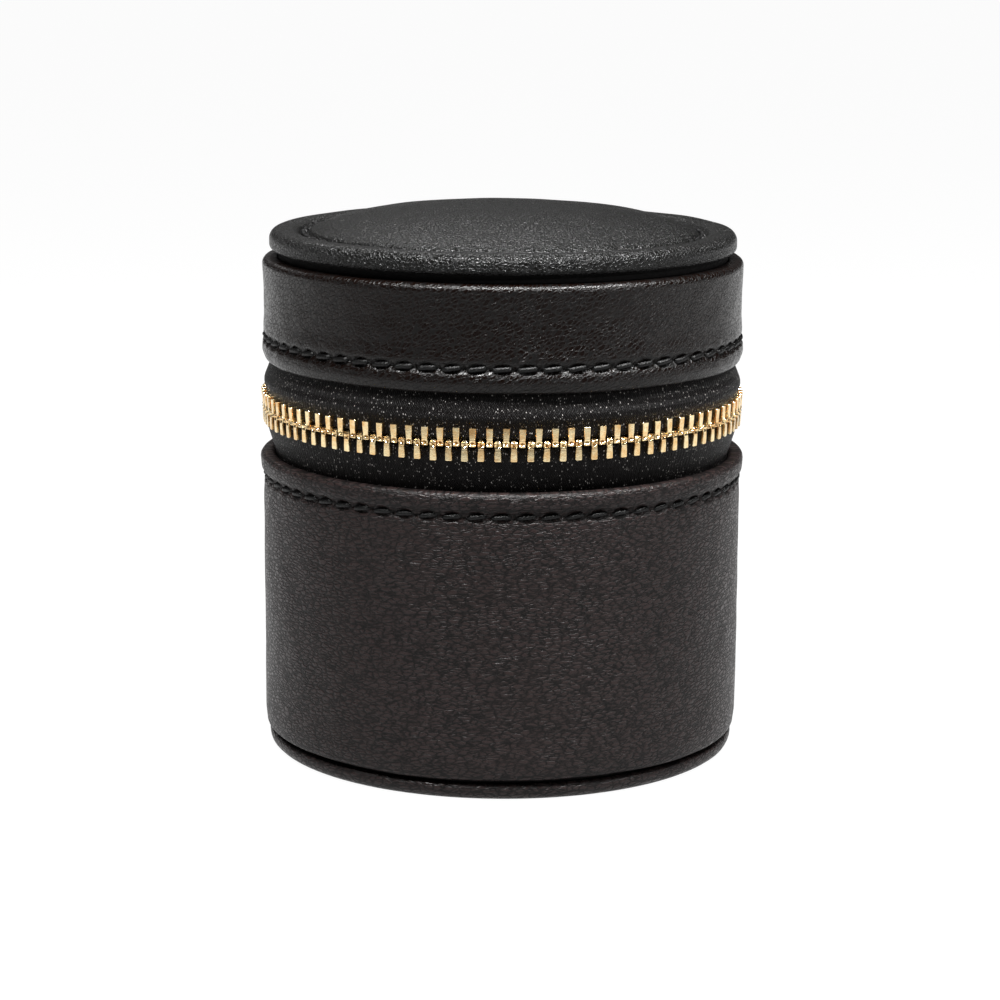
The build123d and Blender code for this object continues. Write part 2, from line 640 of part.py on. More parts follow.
# --- the whole case ---------------------------------------------------------------------------
NODES = {
    "base_leather": make_base_leather,
    "base_board": make_base_board,
    "body_leather_wall": make_body_leather_wall,
    "body_outer_board": make_body_outer_board,
    "body_inner_board": make_body_inner_board,
    "body_lining": make_body_lining,
    "body_stitching": lambda: groove_stitches(HEM_RADIUS, BODY_STITCH_HEIGHT),
    "floor_board": make_floor_board,
    "floor_lining": make_floor_lining,
    "ring_rolls": make_ring_rolls,
    "lid_band_leather": make_lid_band_leather,
    "lid_outer_board": make_lid_outer_board,
    "lid_inner_board": make_lid_inner_board,
    "lid_lining_wall": make_lid_lining_wall,
    "lid_lining_disc": make_lid_lining_disc,
    "lid_stitching": lambda: groove_stitches(lid_stitch_surface(), LID_STITCH_HEIGHT),
    "lid_top_board": make_lid_top_board,
    "lid_top_leather": make_lid_top_leather,
    "lid_top_padding": make_lid_top_padding,
    "lid_top_stitching": make_lid_top_stitching,
    "zip_tape_lower": lambda: make_tape(-1),
    "zip_tape_upper": lambda: make_tape(1),
    "zip_teeth_lower": lambda: make_teeth(-1),
    "zip_teeth_upper": lambda: make_teeth(1),
    "zip_stops_lower": lambda: make_stops(-1),
    "zip_stops_upper": lambda: make_stops(1),
    "slider_body": make_slider_body,
    "slider_bail": make_slider_bail,
    "zip_pull": make_zip_pull,
    "hinge_leather": make_hinge_leather,
    "hinge_lining": make_hinge_lining,
    "hinge_stitching": make_hinge_stitching,
}

os.makedirs("parts", exist_ok=True)
for node, make in NODES.items():
    export_step(make(), f"parts/{node}.step")
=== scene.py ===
import math
import random

import bmesh
import bpy
import numpy as np
from mathutils import Matrix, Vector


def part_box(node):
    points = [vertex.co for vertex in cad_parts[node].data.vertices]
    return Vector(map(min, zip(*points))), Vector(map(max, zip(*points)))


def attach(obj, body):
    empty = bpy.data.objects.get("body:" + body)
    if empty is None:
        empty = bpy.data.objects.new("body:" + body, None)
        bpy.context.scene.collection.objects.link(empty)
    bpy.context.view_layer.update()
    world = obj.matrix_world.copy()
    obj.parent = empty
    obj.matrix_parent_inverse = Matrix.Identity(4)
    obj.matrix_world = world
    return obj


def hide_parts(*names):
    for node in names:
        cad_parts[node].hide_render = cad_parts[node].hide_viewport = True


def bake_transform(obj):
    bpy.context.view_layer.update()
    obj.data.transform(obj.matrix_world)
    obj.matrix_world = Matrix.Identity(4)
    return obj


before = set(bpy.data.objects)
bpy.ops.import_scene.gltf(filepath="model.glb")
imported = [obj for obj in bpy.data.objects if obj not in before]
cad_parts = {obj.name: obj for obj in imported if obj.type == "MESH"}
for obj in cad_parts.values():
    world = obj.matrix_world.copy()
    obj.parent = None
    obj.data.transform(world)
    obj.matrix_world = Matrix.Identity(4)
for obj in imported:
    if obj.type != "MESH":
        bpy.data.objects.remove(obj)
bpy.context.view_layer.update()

# Lengths in this file are millimetres until a mesh is made, and the frame is in metres.
# Azimuths are degrees from the front (-Y), counter-clockwise seen from above.
MM = 0.001
FULL_TURN = 360.0


def low(node):
    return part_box(node)[0].z / MM


def high(node):
    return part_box(node)[1].z / MM


def reach(node):
    """The largest radius of a node that goes all the way round."""
    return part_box(node)[1].x / MM


# --- sizes ------------------------------------------------------------------------------------
GLUE_GAP = 0.05
LEATHER = 1.0
BOARD_AND_GLUE = 0.95
LINING = 0.8
FOOT_RADIUS = reach("base_leather")
FOOT_TOP = high("base_leather")
WALL_BOTTOM = low("body_leather_wall")
WALL_RADIUS = 30.5
HEM_RADIUS = reach("body_leather_wall")
BODY_TOP = high("body_leather_wall")
BODY_STITCH_HEIGHT = (low("body_stitching") + high("body_stitching")) / 2
HEM_INNER = 28.95
LID_BOTTOM = low("lid_band_leather")
LID_BAND_TOP = high("lid_band_leather")
LID_BAND_RADIUS = 30.5
LID_WAIST_RADIUS = 30.3
LID_LIP_RADIUS = reach("lid_band_leather")
LID_STITCH_HEIGHT = (low("lid_stitching") + high("lid_stitching")) / 2
LID_INNER = 29.25
NECK_RADIUS = reach("lid_top_board")
RIM_RADIUS = reach("lid_top_leather")
RIM_BOTTOM = low("lid_top_leather") - 0.3     # the leather sags a little past the CAD rim
RIM_TOP = 66.2
SEAM_RADIUS = 25.2
SEAM_HEIGHT = 65.75
CROWN_HEIGHT = high("lid_top_leather")

CHAIN_HEIGHT = (low("slider_body") + high("slider_body")) / 2
TAPE_THICKNESS = 0.6
CHAIN_RADIUS = reach("zip_tape_lower") - TAPE_THICKNESS / 2
TAPE_TUCK = 5.0                # how far a tape runs in under its hem
TAPE_EDGE = 0.6                # from the chain's centre line to the edge of a tape
TAPE_END_AZIMUTH = 159.6
TEETH_PER_TURN = 98
TEETH_EACH_SIDE = 40
TOOTH_ROOT = 2.0               # from the chain's centre line to the far end of a tooth

BODY_STITCHES = 64
LID_STITCHES = 63
SEAM_STITCHES = 53
COLUMNS_PER_STITCH = 16
SMOOTH_COLUMNS = 720           # round a lathed piece that has no stitches
LINING_COLUMNS = 360
HINGE_HALF_ANGLE = 20.0
HINGE_BULGE_RADIUS = 29.4
HINGE_TUCK = 4.5               # how far the strip runs in under each hem
HINGE_THICKNESS = 0.62
HINGE_LINING_THICKNESS = 0.5
BODY_TAPE_RADIUS = 28.6
LID_TAPE_RADIUS = 28.9
NEARLY_STRAIGHT = 0.01         # radians; a flatter corner isn't rounded
ON_AXIS = 0.01                 # a point nearer to the axis than this is on it
WELD = 1e-7                    # metres
MODIFIER_WELD = 1e-6           # metres
FLAT_ANGLE = 0.5               # degrees; faces that meet at less become one
SHARP_ANGLE = 35.0             # degrees; edges sharper than this get a bevel


# --- outlines and lathed meshes ---------------------------------------------------------------
def corner_arc(before, corner, after, radius, step):
    """Points of the arc that rounds one corner of an outline."""
    into = (corner - before) / np.linalg.norm(corner - before)
    out = (after - corner) / np.linalg.norm(after - corner)
    turn = math.atan2(into[0] * out[1] - into[1] * out[0], float(into @ out))
    if radius <= 0 or abs(turn) < NEARLY_STRAIGHT:
        return [corner]
    start = corner - into * radius * math.tan(abs(turn) / 2)
    side = math.copysign(1.0, turn)
    centre = start + side * radius * np.array([-into[1], into[0]])
    count = max(2, math.ceil(radius * abs(turn) / step))
    points = []
    for index in range(count + 1):
        angle = turn * index / count
        cosine, sine = math.cos(angle), math.sin(angle)
        arm = start - centre
        turned = (arm[0] * cosine - arm[1] * sine, arm[0] * sine + arm[1] * cosine)
        points.append(centre + np.array(turned))
    return points


def outline(corners, step, closed=True):
    """Evenly spaced (radius, height) points along (radius, height, rounding) corners.

    The corners go counter-clockwise, so that the normals point outwards.
    """
    places = [np.array(corner[:2], float) for corner in corners]
    count = len(places)
    rough = []
    for index, (place, corner) in enumerate(zip(places, corners)):
        is_end = not closed and index in (0, count - 1)
        if is_end:
            rough.append(place)
            continue
        before = places[index - 1]
        after = places[(index + 1) % count]
        rough.extend(corner_arc(before, place, after, corner[2], step))
    if closed:
        rough.append(rough[0])
    points = []
    for here, there in zip(rough, rough[1:]):
        pieces = max(1, math.ceil(np.linalg.norm(there - here) / step))
        points.extend(here + (there - here) * part / pieces for part in range(pieces))
    if not closed:
        points.append(rough[-1])
    return np.array(points)


def add_piece(name, vertices, faces, material, smooth=True):
    """A mesh object from vertices in millimetres."""
    mesh = bpy.data.meshes.new(name)
    mesh.from_pydata((np.asarray(vertices) * MM).tolist(), [], faces)
    mesh.polygons.foreach_set("use_smooth", [smooth] * len(mesh.polygons))
    mesh.materials.append(material)
    piece = bpy.data.objects.new(name, mesh)
    bpy.context.scene.collection.objects.link(piece)
    return piece


def face_outwards(piece, merge=0.0):
    """Turns every face outwards, after welding points closer than `merge` metres."""
    grid = bmesh.new()
    grid.from_mesh(piece.data)
    if merge > 0:
        bmesh.ops.remove_doubles(grid, verts=grid.verts, dist=merge)
    bmesh.ops.recalc_face_normals(grid, faces=grid.faces)
    grid.to_mesh(piece.data)
    grid.free()


def outward(points, closed):
    """Unit normals of an outline, to the right of its direction."""
    if closed:
        along = np.roll(points, -1, axis=0) - np.roll(points, 1, axis=0)
    else:
        along = np.gradient(points, axis=0)
    along = along / np.linalg.norm(along, axis=1)[:, None]
    return np.stack([along[:, 1], -along[:, 0]], axis=1)


def lathe(name, points, columns, material, dent=None, closed=True, start=-180.0, end=180.0):
    """Turns an outline about Z. dent(azimuth, radius, height) moves points along their normals."""
    full = end - start >= FULL_TURN
    spread = np.linspace(start, end, columns + 1)[:columns + (0 if full else 1)]
    azimuth = np.radians(spread)[None, :]
    radius = np.repeat(points[:, :1], azimuth.shape[1], axis=1)
    height = np.repeat(points[:, 1:], azimuth.shape[1], axis=1)
    if dent is not None:
        normals = outward(points, closed)
        offset = dent(np.broadcast_to(azimuth, radius.shape), radius, height)
        offset = offset * (radius > ON_AXIS)
        radius = radius + normals[:, :1] * offset
        height = height + normals[:, 1:] * offset
    vertices = np.stack([radius * np.sin(azimuth), -radius * np.cos(azimuth), height], axis=2)
    rows, width = radius.shape
    faces = []
    for row in range(rows if closed else rows - 1):
        above = (row + 1) % rows
        for column in range(width if full else width - 1):
            beside = (column + 1) % width
            faces.append((row * width + column, row * width + beside,
                          above * width + beside, above * width + column))
    if not full and closed:
        faces.append([row * width for row in range(rows)])
        faces.append([row * width + width - 1 for row in reversed(range(rows))])
    piece = add_piece(name, vertices.reshape(-1, 3), faces, material)
    if points[:, 0].min() < ON_AXIS:
        face_outwards(piece, merge=WELD)
    return piece


def place(piece, body, slot, *nodes):
    """Hands a finished piece to the frame."""
    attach(piece, body)
    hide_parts(*nodes)


# --- surface relief ---------------------------------------------------------------------------
def ripple(azimuth, height, seed, length, amount):
    """Gentle seamless unevenness, about `length` across and up to `amount` deep."""
    draw = random.Random(seed)
    turns = 2 * math.pi * WALL_RADIUS / length
    waves = 7
    total = np.zeros_like(azimuth)
    for _ in range(waves):
        round_count = round(turns * draw.uniform(-1, 1))
        upward = 2 * math.pi / length * draw.uniform(-1, 1)
        phase = draw.uniform(0, 2 * math.pi)
        total += np.sin(round_count * azimuth + upward * height + phase)
    return amount * total / waves ** 0.5


def along_stitch(azimuth, count):
    """Distance along a stitch from its middle, from -0.5 to 0.5 of a stitch."""
    turns = azimuth * count / (2 * math.pi)
    return turns - np.round(turns)


def bump(distance, width):
    return np.exp(-(distance / width) ** 2)


def stitched(azimuth, across, count):
    """The sunk channel of a stitch row, its needle holes and the leather pulled in beside it."""
    channel_depth = 0.52
    channel_half_width = 0.62
    hole_depth = 0.45
    hole_half_width = 0.36
    hole_share = 0.10              # of a stitch
    pull_depth = 0.14
    pull_reach = 1.5
    pucker_depth = 0.05
    pucker_reach = 1.1
    along = along_stitch(azimuth, count)
    from_hole = np.abs(np.abs(along) - 0.5)
    beat = np.cos(2 * math.pi * along)
    scallop = 0.72 + 0.28 * beat
    channel = -channel_depth * scallop * np.exp(-(across / channel_half_width) ** 4)
    holes = -hole_depth * bump(from_hole, hole_share) * bump(across, hole_half_width)
    pulled = -pull_depth * bump(across, pull_reach) - pucker_depth * beat * bump(across, pucker_reach)
    return channel + holes + pulled


def closing_seam(azimuth):
    """The fine joint where a wrapped hide meets itself at the back."""
    depth = 0.22
    half_width = 0.3
    return -depth * bump((math.pi - np.abs(azimuth)) * WALL_RADIUS, half_width)


# --- materials --------------------------------------------------------------------------------
class Nodes:
    """A short way to write a node tree."""

    def __init__(self, name):
        self.material = bpy.data.materials.new(name)
        self.material.use_nodes = True
        self.tree = self.material.node_tree
        self.shader = self.tree.nodes["Principled BSDF"]

    def add(self, kind, settings=None, **inputs):
        node = self.tree.nodes.new("ShaderNode" + kind)
        for key, value in (settings or {}).items():
            setattr(node, key, value)
        for key, value in inputs.items():
            self.feed(node.inputs[key.replace("_", " ")], value)
        return node

    def feed(self, socket, value):
        if isinstance(value, bpy.types.NodeSocket):
            self.tree.links.new(value, socket)
        else:
            socket.default_value = value

    def math(self, operation, first, second=0.0):
        node = self.tree.nodes.new("ShaderNodeMath")
        node.operation = operation
        self.feed(node.inputs[0], first)
        self.feed(node.inputs[1], second)
        return node.outputs[0]

    def coordinates(self, scale=(1.0, 1.0, 1.0)):
        """The frame's own coordinates in millimetres, stretched."""
        source = self.add("TexCoord").outputs["Object"]
        per_millimetre = [factor / MM for factor in scale]
        mapping = self.add("Mapping", Vector=source, Scale=per_millimetre)
        return mapping.outputs[0]

    def around(self):
        """(distance round the case, height, 0) in millimetres, for what runs round it."""
        x, y, z = self.add("SeparateXYZ", Vector=self.coordinates()).outputs
        azimuth = self.math("ARCTAN2", x, self.math("MULTIPLY", y, -1.0))
        distance = self.math("MULTIPLY", azimuth, WALL_RADIUS)
        return self.add("CombineXYZ", X=distance, Y=z).outputs[0], distance, z

    def grain(self, vector, width, height, turn):
        """A vector whose unit cells are width by height millimetres, turned in its own plane."""
        mapping = self.add("Mapping", {"vector_type": "TEXTURE"}, Vector=vector,
                           Rotation=(0.0, 0.0, math.radians(turn)), Scale=(width, height, height))
        return mapping.outputs[0]

    def warped(self, vector, scale, amount):
        """A vector pushed about by noise, so that cells lose their straight edges."""
        push = self.add("TexNoise", Vector=vector, Scale=scale, Detail=2.0).outputs["Color"]
        centred = self.add("VectorMath", {"operation": "SUBTRACT"})
        self.feed(centred.inputs[0], push)
        self.feed(centred.inputs[1], (0.5, 0.5, 0.5))
        scaled = self.add("VectorMath", {"operation": "SCALE"}, Scale=amount)
        self.feed(scaled.inputs[0], centred.outputs[0])
        total = self.add("VectorMath", {"operation": "ADD"})
        self.feed(total.inputs[0], vector)
        self.feed(total.inputs[1], scaled.outputs[0])
        return total.outputs[0]

    def noise(self, vector, scale, detail=2.0, roughness=0.5):
        node = self.add("TexNoise", Vector=vector, Scale=scale, Detail=detail, Roughness=roughness)
        return node.outputs["Fac"]

    def ramp(self, factor, *stops):
        """A colour ramp through (position, colour or grey) stops."""
        node = self.add("ValToRGB", Fac=factor)
        elements = node.color_ramp.elements
        while len(elements) < len(stops):
            elements.new(0.5)
        for element, (position, colour) in zip(elements, stops):
            element.position = position
            grey = isinstance(colour, (int, float))
            element.color = (colour, colour, colour, 1) if grey else (*colour, 1)
        return node.outputs["Color"]

    def span(self, value, from_low, from_high, to_low, to_high):
        node = self.add("MapRange", Value=value)
        for socket, limit in zip(list(node.inputs)[1:5], (from_low, from_high, to_low, to_high)):
            socket.default_value = limit
        return node.outputs["Result"]

    def relief(self, heights):
        """Stacks bump layers: (height socket, depth in millimetres)."""
        normal = None
        for height, depth in heights:
            node = self.add("Bump", Strength=1.0, Distance=depth * MM, Height=height)
            if normal is not None:
                self.tree.links.new(normal, node.inputs["Normal"])
            normal = node.outputs["Normal"]
        self.tree.links.new(normal, self.shader.inputs["Normal"])

    def set(self, **values):
        for key, value in values.items():
            self.feed(self.shader.inputs[key.replace("_", " ")], value)


def leather(name, wraps, cell, turn, crease_width, crease_depth, painted_crease_shade_and_plate_colours, rough, specular):
    """Fine-grained leather: plates between creases that run one way, pores and a broken shine.

    wraps says that the hide goes round the case. cell is the plate's width and height in
    millimetres and turn is their lean in degrees. crease_width is a share of a plate and
    crease_depth is in millimetres. The colours are painted shade for the creases and the plates' own.
    """
    crease_roughness = rough + 0.25
    fine_cell = (cell[0] * 0.45, cell[1] * 0.6)
    fine_crease_width = 0.25
    n = Nodes(name)
    flat = n.around()[0] if wraps else n.coordinates()
    plate_vector = n.warped(n.grain(flat, *cell, turn), scale=1.1, amount=0.9)
    plates = n.add("TexVoronoi", {"feature": "DISTANCE_TO_EDGE"}, Vector=plate_vector, Scale=1.0)
    plate_height = n.span(plates.outputs["Distance"], 0.0, crease_width, 0.0, 1.0)
    fine_vector = n.warped(n.grain(flat, *fine_cell, -turn), scale=1.3, amount=0.8)
    fine = n.add("TexVoronoi", {"feature": "DISTANCE_TO_EDGE"}, Vector=fine_vector, Scale=1.0)
    fine_height = n.span(fine.outputs["Distance"], 0.0, fine_crease_width, 0.0, 1.0)
    swell = n.noise(n.coordinates(), scale=0.15)
    pores = n.noise(n.coordinates(), scale=6.0)
    patches = n.noise(n.coordinates(), scale=0.35, detail=3.0)
    crease_strength = n.span(patches, 0.35, 0.65, 0.8, 1.0)
    creases = n.math("MULTIPLY", n.math("SUBTRACT", 1.0, plate_height), crease_strength)
    n.relief([(swell, 0.25), (n.math("SUBTRACT", 1.0, creases), crease_depth),
              (fine_height, 0.006), (pores, 0.0015)])
    # Painted shade: the creases are coloured near black and the fine creases up to 40 per cent darker,
    # standing in for shadow in their hollows.
    painted_crease_shade = n.math("MULTIPLY", n.math("SUBTRACT", 1.0, creases),
                   n.span(fine_height, 0.0, 1.0, 0.6, 1.0))
    n.set(Base_Color=n.ramp(painted_crease_shade, (0.1, painted_crease_shade_and_plate_colours[0]), (0.7, painted_crease_shade_and_plate_colours[1])),
          Roughness=n.span(painted_crease_shade, 0.2, 1.0, crease_roughness, rough), Specular_IOR_Level=specular)
    return n.material


def thread():
    n = Nodes("waxed_thread")
    fibres = n.noise(n.coordinates((1.0, 1.0, 3.0)), scale=5.0, detail=3.0)
    n.relief([(fibres, 0.05)])
    dark = (0.0006, 0.0006, 0.0006)
    pale = (0.003, 0.0028, 0.0028)
    n.set(Base_Color=n.ramp(fibres, (0.3, dark), (0.7, pale)),
          Roughness=0.35, Specular_IOR_Level=0.25)
    return n.material


def zip_tape():
    """Tight black weave with upright ribs, and painted glints: pale specks painted into its colour where
    fibres would catch the light.
    """
    rib_pitch = 0.55
    pick_pitch = 0.42
    zigzag_rise = 0.6
    painted_glints_per_millimetre = 4.2
    ground = (0.0012, 0.0007, 0.0006)
    painted_glint_halo = (0.009, 0.0075, 0.007)
    painted_glint = (0.42, 0.40, 0.38)
    n = Nodes("zip_tape_weave")
    _, distance, height = n.around()
    ribs = n.math("SINE", n.math("MULTIPLY", distance, 2 * math.pi / rib_pitch))
    zigzag = n.math("PINGPONG", height, zigzag_rise)
    slanted = n.math("ADD", n.math("MULTIPLY", distance, 1.4), zigzag)
    picks = n.math("SINE", n.math("MULTIPLY", slanted, 2 * math.pi / pick_pitch))
    weave = n.math("ADD", n.math("MULTIPLY", ribs, 0.8), picks)
    weave_height = n.span(weave, -1.8, 1.8, 0.0, 1.0)
    fuzz = n.noise(n.coordinates(), scale=6.0, detail=3.0)
    # Pale specks at a share of random cells, each with a faint halo, are painted glints.
    painted_glint_cells = n.add("TexVoronoi", {"feature": "F1"}, Vector=n.coordinates((1.0, 1.0, 0.7)),
                   Scale=painted_glints_per_millimetre)
    painted_glint_spot = n.span(painted_glint_cells.outputs["Distance"], 0.15, 0.42, 1.0, 0.0)
    chance = n.add("SeparateColor", Color=painted_glint_cells.outputs["Color"]).outputs[0]
    painted_glint_mask = n.math("MULTIPLY", painted_glint_spot, n.span(chance, 0.5, 1.0, 0.0, 1.0))
    n.relief([(weave_height, 0.12), (fuzz, 0.08)])
    n.set(Base_Color=n.ramp(painted_glint_mask, (0.0, ground), (0.25, painted_glint_halo), (1.0, painted_glint)),
          Roughness=n.span(fuzz, 0.3, 0.7, 0.42, 0.66), Specular_IOR_Level=0.14)
    return n.material


def gold():
    deep_gold = (0.84, 0.52, 0.22)
    pale_gold = (0.97, 0.80, 0.48)
    n = Nodes("gold_plate")
    wear = n.noise(n.coordinates(), scale=0.8, detail=4.0, roughness=0.6)
    scratches = n.noise(n.coordinates((1.0, 1.0, 6.0)), scale=3.0, detail=3.0)
    n.relief([(scratches, 0.012), (wear, 0.03)])
    n.set(Base_Color=n.ramp(wear, (0.35, deep_gold), (0.6, pale_gold)),
          Metallic=1.0, Roughness=n.span(scratches, 0.3, 0.7, 0.12, 0.26))
    return n.material


def suede(name, dark, pale):
    n = Nodes(name)
    nap = n.noise(n.coordinates(), scale=3.5, detail=4.0, roughness=0.7)
    brushed = n.noise(n.coordinates((1.0, 1.0, 0.4)), scale=0.25, detail=3.0)
    n.relief([(nap, 0.06), (brushed, 0.05)])
    n.set(Base_Color=n.ramp(n.math("MULTIPLY", nap, n.span(brushed, 0.3, 0.7, 0.8, 1.2)),
                            (0.25, dark), (0.75, pale)),
          Roughness=0.92, Sheen_Weight=0.35, Sheen_Roughness=0.45)
    return n.material


def board():
    n = Nodes("painted_greyboard")
    pulp = n.noise(n.coordinates((1.0, 1.0, 4.0)), scale=1.5, detail=4.0)
    n.relief([(pulp, 0.04)])
    n.set(Base_Color=n.ramp(pulp, (0.3, (0.004, 0.004, 0.004)), (0.7, (0.012, 0.011, 0.011))),
          Roughness=0.85, Specular_IOR_Level=0.2)
    return n.material


def foam():
    n = Nodes("foam")
    cells = n.add("TexVoronoi", {"feature": "F1"}, Vector=n.coordinates(), Scale=1.5)
    distance = cells.outputs["Distance"]
    n.relief([(distance, 0.15)])
    # The colour is darker towards each cell's pit, the low point of the bump: painted shade in the foam's
    # hollows.
    n.set(Base_Color=n.ramp(distance, (0.0, (0.42, 0.38, 0.28)), (0.7, (0.72, 0.68, 0.56))),
          Roughness=0.95)
    return n.material


body_leather = leather("body_leather", wraps=True, cell=(1.2, 0.42), turn=4.0,
                       crease_width=0.26, crease_depth=0.06,
                       painted_crease_shade_and_plate_colours=((0.0012, 0.0008, 0.0007), (0.0195, 0.0128, 0.0122)),
                       rough=0.25, specular=0.2)
lid_leather = leather("lid_leather", wraps=True, cell=(0.9, 0.42), turn=32.0,
                      crease_width=0.15, crease_depth=0.035,
                      painted_crease_shade_and_plate_colours=((0.0004, 0.0002, 0.0002), (0.003, 0.001, 0.0005)),
                      rough=0.17, specular=0.28)
top_leather = leather("top_leather", wraps=False, cell=(0.46, 0.42), turn=0.0,
                      crease_width=0.28, crease_depth=0.085,
                      painted_crease_shade_and_plate_colours=((0.0004, 0.0004, 0.0004), (0.0018, 0.0016, 0.0012)),
                      rough=0.16, specular=0.32)
thread_material = thread()
tape_material = zip_tape()
gold_material = gold()
wall_suede = suede("lining_suede", dark=(0.020, 0.018, 0.018), pale=(0.065, 0.058, 0.058))
roll_suede = suede("roll_suede", dark=(0.026, 0.023, 0.023), pale=(0.080, 0.072, 0.072))
board_material = board()
foam_material = foam()


# --- foot and body ----------------------------------------------------------------------------
def make_foot():
    inner = reach("base_board") + GLUE_GAP
    shelf = low("base_board") - GLUE_GAP
    corners = [(0, 0, 0), (FOOT_RADIUS, 0, 1.2), (FOOT_RADIUS, FOOT_TOP, 0.6),
               (inner, FOOT_TOP, 0.2), (inner, shelf, 0), (0, shelf, 0)]
    points = outline(corners, step=0.25, closed=False)

    def dent(azimuth, radius, height):
        outside = (radius > inner + 0.2) * (height > 0.3)
        return ripple(azimuth, height, seed=11, length=9.0, amount=0.03) * outside

    foot = lathe("foot_leather", points, SMOOTH_COLUMNS, body_leather, dent, closed=False)
    place(foot, "body", "black_leather", "base_leather")


def make_body_wall():
    inner = WALL_RADIUS - LEATHER
    foot_curve_top = 4.5
    hem_start = BODY_STITCH_HEIGHT - 1.2
    hem_full = 36.4
    turn_in_end = 33.0
    turn_in_step = 0.4
    corners = [(inner, WALL_BOTTOM, 0.2), (WALL_RADIUS - 0.2, WALL_BOTTOM, 0.6),
               (WALL_RADIUS, foot_curve_top, 3.0), (WALL_RADIUS, hem_start, 2.0),
               (HEM_RADIUS, hem_full, 1.2), (HEM_RADIUS, BODY_TOP, 0.75),
               (HEM_INNER, BODY_TOP, 0.6), (HEM_INNER, turn_in_end, 0.1),
               (inner, turn_in_end - turn_in_step, 0.1)]
    points = outline(corners, step=0.3)

    def dent(azimuth, radius, height):
        outside = radius > inner + 0.1
        relief = stitched(azimuth, height - BODY_STITCH_HEIGHT, BODY_STITCHES)
        relief = relief + ripple(azimuth, height, seed=21, length=16.0, amount=0.05)
        relief = relief + ripple(azimuth, height, seed=22, length=5.0, amount=0.015) + closing_seam(azimuth)
        return relief * outside * (height < BODY_TOP - 0.05)

    wall = lathe("body_leather", points, BODY_STITCHES * COLUMNS_PER_STITCH, body_leather, dent)
    place(wall, "body", "black_leather", "body_leather_wall")


def make_stitch_shape(length, radius, sink):
    """One thread stitch along X: three plies twisted together, its ends diving into the holes."""
    rings = 22
    sides = 12
    plies = 3
    ply_relief = 0.13
    twist_per_millimetre = 2.1
    share = np.linspace(-1, 1, rings)[:, None]
    turn = np.linspace(0, 2 * math.pi, sides, endpoint=False)[None, :]
    taper = (1 - np.abs(share) ** 8) ** 0.5
    twist = share * length * twist_per_millimetre
    size = radius * (1 + ply_relief * np.cos(plies * (turn + twist))) * np.clip(taper, 0.15, 1)
    across = size * np.cos(turn)
    out = size * np.sin(turn) - sink * np.abs(share) ** 4
    along = np.broadcast_to(share * length / 2, out.shape)
    points = np.stack([along, across, out], axis=2).reshape(-1, 3)
    faces = []
    for ring in range(rings - 1):
        for side in range(sides):
            beside = (side + 1) % sides
            faces.append((ring * sides + side, ring * sides + beside,
                          (ring + 1) * sides + beside, (ring + 1) * sides + side))
    faces.append(list(range(sides))[::-1])
    faces.append([(rings - 1) * sides + side for side in range(sides)])
    return points, faces


def copies(shape, frames):
    """Many copies of one shape, each by a (rotation 3x3, origin) frame, as one mesh."""
    points, faces = shape
    vertices, all_faces = [], []
    for rotation, origin in frames:
        first = len(vertices) * len(points)
        vertices.append(points @ np.array(rotation, float).T + np.array(origin, float))
        all_faces.extend([first + corner for corner in face] for face in faces)
    return np.concatenate(vertices), all_faces


def spin(azimuth):
    cosine, sine = math.cos(azimuth), math.sin(azimuth)
    return np.array([[cosine, -sine, 0], [sine, cosine, 0], [0, 0, 1]])


def stitch_row(name, count, radius, height, faces_up, seed):
    """A ring of stitches. Each leans a little, as a machine's lock stitch does."""
    usual_lean = 7.0
    lean_spread = 2.5
    draw = random.Random(seed)
    pitch = 2 * math.pi * radius / count
    shape = make_stitch_shape(length=pitch * 0.9, radius=0.31, sink=0.42)
    frames = []
    for index in range(count):
        azimuth = index * 2 * math.pi / count
        lean = math.radians(usual_lean + draw.uniform(-lean_spread, lean_spread))
        leaning = np.array(Matrix.Rotation(lean, 3, "Z"))
        if faces_up:
            upright = np.identity(3)
        else:
            upright = np.array([[1, 0, 0], [0, 0, -1], [0, 1, 0]], float)
        turned = spin(azimuth)
        origin = turned @ np.array([0, -radius, height])
        frames.append((turned @ upright @ leaning, origin))
    vertices, faces = copies(shape, frames)
    row = add_piece(name, vertices, faces, thread_material)
    face_outwards(row)
    return row


def make_stitching():
    body = stitch_row("body_thread", BODY_STITCHES, WALL_RADIUS - 0.3, BODY_STITCH_HEIGHT,
                      faces_up=False, seed=31)
    place(body, "body", "thread", "body_stitching")
    lid = stitch_row("lid_thread", LID_STITCHES, LID_LIP_RADIUS - 0.42, LID_STITCH_HEIGHT,
                     faces_up=False, seed=32)
    place(lid, "lid", "thread", "lid_stitching")
    seam = stitch_row("lid_top_thread", SEAM_STITCHES, SEAM_RADIUS, SEAM_HEIGHT - 0.2,
                      faces_up=True, seed=33)
    place(seam, "lid", "thread", "lid_top_stitching")


